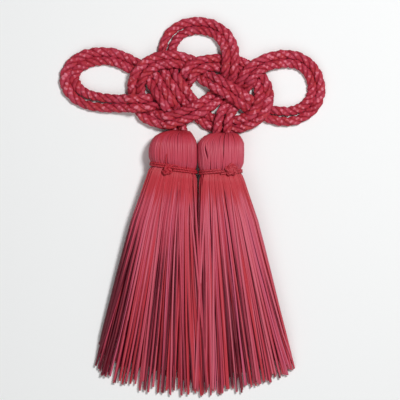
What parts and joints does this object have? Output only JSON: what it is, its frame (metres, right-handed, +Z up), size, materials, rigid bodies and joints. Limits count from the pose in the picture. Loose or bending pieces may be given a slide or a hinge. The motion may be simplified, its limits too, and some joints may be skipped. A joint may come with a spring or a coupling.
{
  "type": "rush tassel ornament",
  "caption": "Red rush ornament: a flat three-loop knot of two twisted rush ropes over two fanned rush tassels, each tied at the waist.",
  "frame": {"origin": "middle of the outline, on the surface that the ornament lies on", "axes": "+X to the ornament's right, +Y to its top loop, +Z up from the surface"},
  "size_m": [0.1642, 0.2336, 0.0204],
  "materials": {
    "rope_rush": "twisted dyed rush, crimson, with a dull plant sheen",
    "tassel_rush": "straight dyed rush stems, dusty crimson, with a soft plant sheen",
    "tie_string": "bright red twisted string, matt"
  },
  "bodies": {
    "root": {"outer_rope": "rope_rush", "inner_rope": "rope_rush", "left_tassel": "tassel_rush", "right_tassel": "tassel_rush", "left_tie": "tie_string", "right_tie": "tie_string"}
  },
  "joints": []
}
